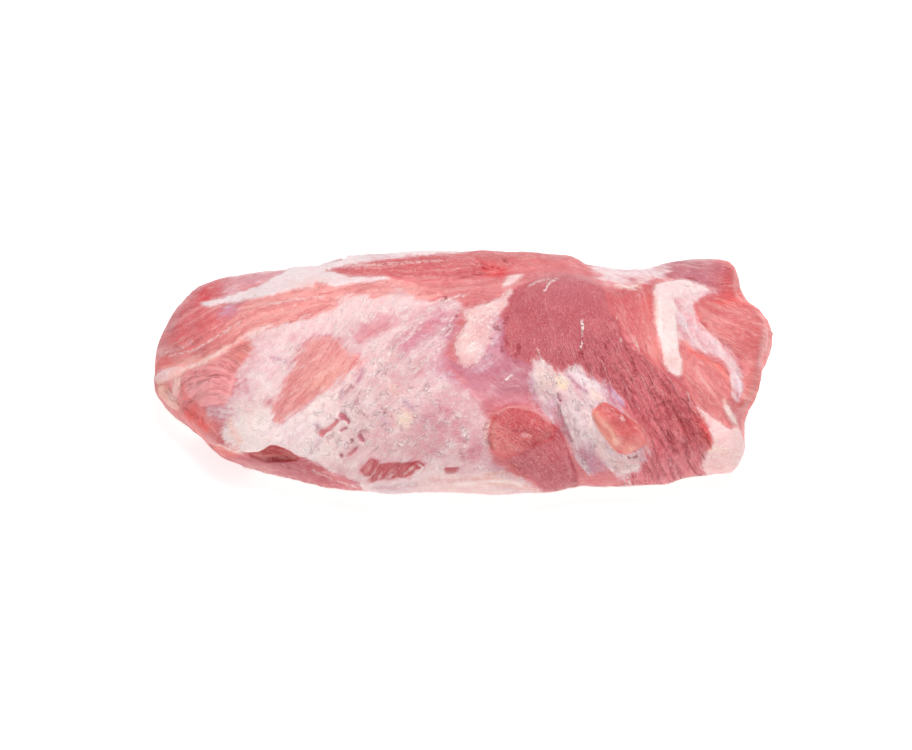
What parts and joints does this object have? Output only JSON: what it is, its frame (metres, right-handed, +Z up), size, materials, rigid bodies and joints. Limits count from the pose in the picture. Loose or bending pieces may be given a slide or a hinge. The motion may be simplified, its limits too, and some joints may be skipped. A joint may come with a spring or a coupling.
{
  "type": "boneless pork shoulder",
  "caption": "Raw boneless pork shoulder, a long slab of meat rounded at one end and cut square at the other, lying flat to be roasted, sliced or tied.",
  "frame": {"origin": "centre of the footprint, on the surface that the meat lies on", "axes": "+X along the length towards the cut end, +Y to the back, +Z up"},
  "size_m": [0.378, 0.184, 0.0933],
  "materials": {
    "raw_pork": "moist raw pork: pink to rose lean with a fine grain, pinkish white films of sinew and pale fat, satin to glossy"
  },
  "bodies": {
    "root": {"pork_shoulder": "raw_pork"}
  },
  "joints": []
}
